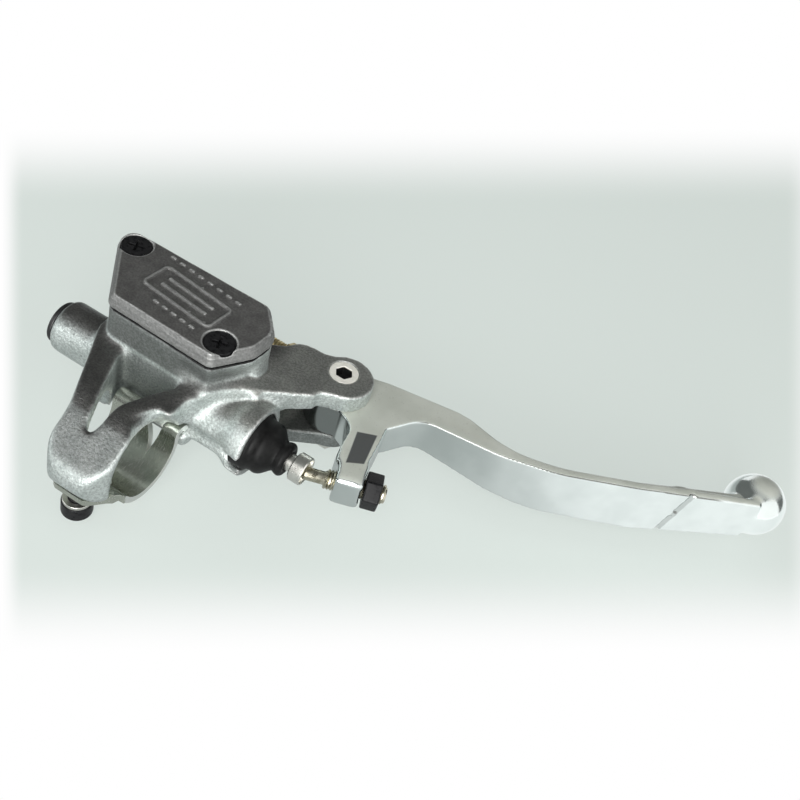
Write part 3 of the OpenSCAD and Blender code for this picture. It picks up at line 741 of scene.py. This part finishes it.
print("stage: cover", len(coverCasting.data.polygons))

# Lever
lever = {"voxel": 0.00042, "passes": 4, "evenShare": 0.9, "frontPasses": 22,
         "blockPasses": 80, "tipPasses": 40, "lastPasses": 4,
         "frontSlope": (0.0, 0.35), "hubEdge": (0.010, 0.016), "grooveEdge": (0.0014, 0.0030),
         "blockEnd": (0.036, 0.030), "tip": (0.146, 0.156)}


def leverEven(points, normal):
    return np.full(len(points), lever["evenShare"])


# The front face, but not the hub or the breakaway groove
def leverFront(points, normal):
    hub = np.hypot(points[:, 0] - pivot[0], points[:, 1] - pivot[1])
    off = np.abs(points @ np.array(groove["across"]) - groove["start"])
    share = smoothStep(normal[:, 1], *lever["frontSlope"]) * smoothStep(hub, *lever["hubEdge"])
    return share * smoothStep(off, *lever["grooveEdge"])


def tailBlock(points, normal):
    return smoothStep(points[:, 1], *lever["blockEnd"])


# Where the blade runs into the ball
def bladeTip(points, normal):
    return smoothStep(points[:, 0], *lever["tip"])


leverForging = remeshed(mergedCopy("lever", "leverForging"), lever["voxel"])
relaxed(leverForging, lever["passes"], leverEven)
relaxed(leverForging, lever["frontPasses"], leverFront)
relaxed(leverForging, lever["blockPasses"], tailBlock)
relaxed(leverForging, lever["tipPasses"], bladeTip, fillOnly=True)
relaxed(leverForging, lever["lastPasses"], bladeTip)
finished(shadeSmooth(leverForging), "lever_group", "polished", "lever")
print("stage: lever", len(leverForging.data.polygons))

# Hardware with softened edges: name, width of the soft edge, body
hardware = {
    "clamp_strap": ("clampStrap", 0.00025, "body"),
    "clamp_screw": ("clampScrew", 0.00035, "body"),
    "clamp_washer": ("clampWasher", 0.00015, "body"),
    "hose_port_plug": ("portPlug", 0.00050, "body"),
    "cover_screws": ("coverScrews", 0.00015, "body"),
    "pivot_bolt": ("pivotBolt", 0.00025, "body"),
    "pivot_nut": ("pivotNut", 0.00030, "body"),
    "switch_locknut": ("switchLocknut", 0.00025, "body"),
    "switch_barrel": ("switchBarrel", 0.00020, "body"),
    "adjuster_locknut": ("adjusterNut", 0.00050, "lever_group"),
}
for node, (name, width, body) in hardware.items():
    finished(softEdged(node, name, width), body, nodeLooks[node], node)
print("stage: hardware")


# Profiles are written in millimetres, as distance along the axis and radius
def scaled(knots):
    return [(a * mm, b * mm) for a, b in knots]


# Pushrod
pushrod = {"sharp": 32,
           "profile": [(22.8, 0.0), (23.2, 1.3), (24.2, 2.3), (25.6, 2.75), (45.3, 2.75),
                       (45.4, 2.9), (45.42, 4.2), (45.75, 4.58), (49.2, 4.58), (49.55, 4.35),
                       (49.55, 3.98), (49.3, 3.85), (47.3, 3.85), (47.0, 3.4), (47.0, 0.0)]}
pushrodTurned = lathed("pushrodTurned", scaled(pushrod["profile"]), (0, *cylinder), (1, 0, 0))
finished(shadeSmooth(pushrodTurned, pushrod["sharp"]), "piston_group", "zinc", "pushrod")

# Adjuster
adjuster = {"tip": (50.3, 24.4, 3.0), "angle": 20.5, "sides": 64, "threadFrom": 0.0052,
            "profile": [(-2.2, 0.0), (-2.15, 1.0), (-1.7, 1.7), (-1.0, 2.0), (4.6, 2.0),
                        (5.2, 2.5), (23.1, 2.5), (23.55, 2.1), (23.6, 0.9), (22.6, 0.85),
                        (22.6, 0.0)],
            "thread": {"Radius": 0.00262, "Length": 0.0180, "Turns": 18.0, "Ridge": 0.00044,
                       "Steps": 32}}
switch = {"threadFrom": (0.0084, 0.0584, 0.0054),
          "thread": {"Radius": 0.00298, "Length": 0.0104, "Turns": 11.0, "Ridge": 0.00045,
                     "Steps": 32}}
threadSharp = 45


def geometryGroup(name, inputs):
    group = bpy.data.node_groups.new(name, "GeometryNodeTree")
    group.interface.new_socket("Geometry", in_out="OUTPUT", socket_type="NodeSocketGeometry")
    keys = {}
    for label, kind in inputs.items():
        made = group.interface.new_socket(label, in_out="INPUT", socket_type="NodeSocket" + kind)
        keys[label] = made.identifier
    return group, keys, group.nodes.new("NodeGroupInput"), group.nodes.new("NodeGroupOutput")


ridgeSides = 6
ridgeSharp = 40


# A ridge wound round the Z axis from z = 0 upwards
def ridgeGroup():
    group, keys, start, end = geometryGroup("woundRidge", {
        "Radius": "Float", "Length": "Float", "Turns": "Float", "Ridge": "Float",
        "Steps": "Int", "Finish": "Material"})
    link = group.links.new
    spiral = group.nodes.new("GeometryNodeCurveSpiral")
    for label, socket in (("Radius", "Start Radius"), ("Radius", "End Radius"),
                          ("Length", "Height"), ("Turns", "Rotations"), ("Steps", "Resolution")):
        link(start.outputs[label], spiral.inputs[socket])
    outline = group.nodes.new("GeometryNodeCurvePrimitiveCircle")
    outline.inputs["Resolution"].default_value = ridgeSides
    link(start.outputs["Ridge"], outline.inputs["Radius"])
    sweep = group.nodes.new("GeometryNodeCurveToMesh")
    sweep.inputs["Fill Caps"].default_value = True
    link(spiral.outputs[0], sweep.inputs["Curve"])
    link(outline.outputs[0], sweep.inputs["Profile Curve"])
    real = group.nodes.new("GeometryNodeRealizeInstances")
    finish = group.nodes.new("GeometryNodeSetMaterial")
    link(sweep.outputs[0], real.inputs[0])
    link(real.outputs[0], finish.inputs["Geometry"])
    link(start.outputs["Finish"], finish.inputs["Material"])
    link(finish.outputs[0], end.inputs[0])
    return group, keys


ridge, ridgeKeys = ridgeGroup()


def woundRidge(name, look, place, **values):
    piece = newPiece(name, bpy.data.meshes.new(name))
    change = piece.modifiers.new("ridge", "NODES")
    change.node_group = ridge
    for label, value in {**values, "Finish": materials[look]}.items():
        change[ridgeKeys[label]] = value
    applied(piece)
    piece.data.transform(place)
    return shadeSmooth(piece, ridgeSharp)


def joined(name, *pieces):
    work = bmesh.new()
    for piece in pieces:
        work.from_mesh(piece.data)
    mesh = bpy.data.meshes.new(name)
    work.to_mesh(mesh)
    work.free()
    for piece in pieces:
        bpy.data.objects.remove(piece)
    return newPiece(name, mesh)


def alongAxis(start, axis):
    turn = Vector((0, 0, 1)).rotation_difference(Vector(axis)).to_matrix()
    return Matrix.Translation(start) @ turn.to_4x4()


adjusterTip = Vector(adjuster["tip"]) * mm
adjusterTurn = Matrix.Rotation(adjuster["angle"] * deg, 4, "Z")
adjusterAxis = adjusterTurn.to_3x3() @ Vector((1, 0, 0))
core = lathed("adjusterTurned", scaled(adjuster["profile"]), adjusterTip, adjusterAxis,
              adjuster["sides"])
threadPlace = alongAxis(adjusterTip + adjusterAxis * adjuster["threadFrom"], adjusterAxis)
thread = woundRidge("adjusterThread", "yellowZinc", threadPlace, **adjuster["thread"])
adjusterScrew = joined("adjusterScrew", core, thread)
finished(shadeSmooth(adjusterScrew, threadSharp), "lever_group", "yellowZinc", "adjuster_screw")
switchThread = woundRidge("switchThread", "brass", alongAxis(switch["threadFrom"], (1, 0, 0)),
                          **switch["thread"])
finished(shadeSmooth(switchThread, threadSharp), "body", "brass")
print("stage: adjuster")

# Return spring, one end of which the piston carries
spring = {"start": -0.01645, "travel": 0.0102,
          "coil": {"Radius": 0.0032, "Length": 0.0160, "Turns": 6.5, "Ridge": 0.00045,
                   "Steps": 40}}
returnSpring = woundRidge("returnSpring", "spring",
                          alongAxis((spring["start"], *cylinder), (1, 0, 0)), **spring["coil"])
finished(shadeSmooth(returnSpring), "body", "spring", "return_spring")
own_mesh(returnSpring)
print("stage: spring")

# Dust boot
boot = {"keep": 0.36, "anchor": 0.0285, "outerSteps": 4, "innerSteps": 3,
        "outer": [(27.9, 9.3), (29.6, 9.45), (31.4, 9.5), (32.5, 9.1), (33.3, 8.5), (34.6, 8.3),
                  (35.8, 8.35), (37.0, 7.9), (38.2, 6.8), (39.4, 5.5), (40.3, 5.0), (41.2, 5.3),
                  (42.2, 5.45), (43.0, 5.0), (43.4, 4.2)],
        "inner": [(43.2, 3.1), (42.0, 2.95), (40.6, 3.3), (39.4, 4.2), (37.6, 5.6), (35.6, 6.6),
                  (33.0, 6.9), (30.0, 7.0), (28.0, 7.1)]}
bootProfile = (curvePoints(boot["outer"], boot["outerSteps"])
               + curvePoints(boot["inner"], boot["innerSteps"]))
dustBoot = lathed("dustBoot", scaled(bootProfile), (0, *cylinder), (1, 0, 0))
finished(shadeSmooth(dustBoot), "body", "rubber", "dust_boot")
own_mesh(dustBoot)
print("stage: boot")

# The camera's place and angles, which the floor's fade also uses
view = {"lens": 46.93, "sensor": 36, "near": 0.01, "far": 20,
        "place": (0.1178, -0.1620, 0.2382), "turn": 14.77, "tilt": 45.53, "roll": 20.07}
viewTurn = (Matrix.Rotation(view["turn"] * deg, 3, "Z")
            @ Matrix.Rotation(view["tilt"] * deg, 3, "X")
            @ Matrix.Rotation(view["roll"] * deg, 3, "Z"))
rightward, upward, backward = viewTurn.transposed()

# Floor. It fades to white where the lines of sight lean further than these slopes
floor = {"height": -0.0206, "half": 3.0, "mottle": (6, 2, 0.5), "mottleShare": 0.3,
         "paper": ((0.66, 0.715, 0.69), (0.70, 0.75, 0.73)),
         "lift": (0.78, 0.85, 0.81), "liftShare": 0.62,
         "down": ((-0.2637, -0.1870), (0.2445, 0.1534)),
         "across": ((-0.3835, -0.3605), (0.4075, 0.3692)),
         "glow": ((0.42, 0.45, 0.44), (0.97, 1.0, 0.99)), "glowPlace": (0.07, 0.16)}
white = (1.0, 1.0, 1.0)


def lookFloor():
    made, tree, wires = newMaterial("paleFloor")
    place = wires["place"]
    offset = place.other("ShaderNodeVectorMath", {0: place, 1: view["place"]},
                         operation="SUBTRACT")
    depth = offset.dot(tuple(-backward))
    across = offset.dot(tuple(rightward)) / depth
    down = offset.dot(tuple(-upward)) / depth
    keep = math.prod([down.ramp(*pair) for pair in floor["down"]]
                     + [across.ramp(*pair) for pair in floor["across"]])

    def emission(colour):
        return place.other("ShaderNodeEmission", {"Color": colour, "Strength": 1.0})

    mottle = place.noise(*floor["mottle"]).ramp(0.3, 0.7)
    paper = (mottle * floor["mottleShare"]).mix(*floor["paper"])
    matt = place.other("ShaderNodeBsdfDiffuse", {"Color": paper, "Roughness": 0.0})
    pale = place.other("ShaderNodeMixShader",
                       {0: floor["liftShare"], 1: matt, 2: emission(floor["lift"])})
    seen = place.other("ShaderNodeMixShader", {0: 1 - keep, 1: pale, 2: emission(white)})
    glow = emission(place.part("X").ramp(*floor["glowPlace"]).mix(*floor["glow"]))
    rays = place.other("ShaderNodeLightPath", {})
    finishMaterial(tree, place.other("ShaderNodeMixShader", {0: rays, 1: glow, 2: seen}))
    return made


size = floor["half"]
points = [(x, y, floor["height"]) for x, y in
          ((-size, -size), (size, -size), (size, size), (-size, size))]
floorPiece = newPiece("floor", meshFrom("floor", points, [(0, 1, 2, 3)]))
floorPiece.data.materials.append(lookFloor())
print("stage: floor")

# Lights, which all face the middle of the object: place, size, power, colour
middle = Vector((0.06, 0.05, 0.0))
lightBoxes = {
    "keyBox": ((0.32, -0.85, 0.28), 0.6, 8.5, (1.0, 1.0, 0.99)),
    "faceBox": ((0.20, -0.75, 0.85), 0.5, 4.0, (1.0, 1.0, 0.99)),
    "rightBox": ((0.80, -0.20, 0.30), 1.2, 4.5, (1.0, 1.0, 0.99)),
    "backBox": ((-0.20, 0.90, 0.12), 0.5, 0.7, (1.0, 1.0, 1.0)),
    "leftBox": ((-0.65, -0.45, 0.30), 0.4, 2.0, (0.97, 0.99, 1.0)),
}
for name, (place, size, power, colour) in lightBoxes.items():
    data = bpy.data.lights.new(name, "AREA")
    data.size = size
    data.energy = power
    data.color = colour
    light = bpy.data.objects.new(name, data)
    light.location = place
    light.rotation_euler = (middle - Vector(place)).to_track_quat("-Z", "Y").to_euler()
    scene.collection.objects.link(light)

# World. The camera sees white, and everything else is lit by a dim sky
studio = {"sky": (0.50, 0.53, 0.51, 1), "strength": 0.28}
world = bpy.data.worlds.new("studio")
scene.world = world
world.use_nodes = True
sky = world.node_tree.nodes["Background"]
sky.inputs["Color"].default_value = studio["sky"]
sky.inputs["Strength"].default_value = studio["strength"]
above = Wire(world.node_tree, sky.outputs[0])
backdrop = above.other("ShaderNodeBackground", {"Color": white, "Strength": 1.0})
rays = above.other("ShaderNodeLightPath", {})
both = above.other("ShaderNodeMixShader", {0: rays, 1: above, 2: backdrop})
feed(world.node_tree, both, world.node_tree.nodes["World Output"].inputs["Surface"])
print("stage: light")

# Camera
camera = bpy.data.objects.new("camera", bpy.data.cameras.new("camera"))
scene.collection.objects.link(camera)
camera.data.sensor_width = view["sensor"]
camera.data.lens = view["lens"]
camera.data.clip_start = view["near"]
camera.data.clip_end = view["far"]
camera.matrix_world = Matrix.Translation(view["place"]) @ viewTurn.to_4x4()
scene.camera = camera
scene.view_settings.view_transform = "Standard"
print("stage: finish")
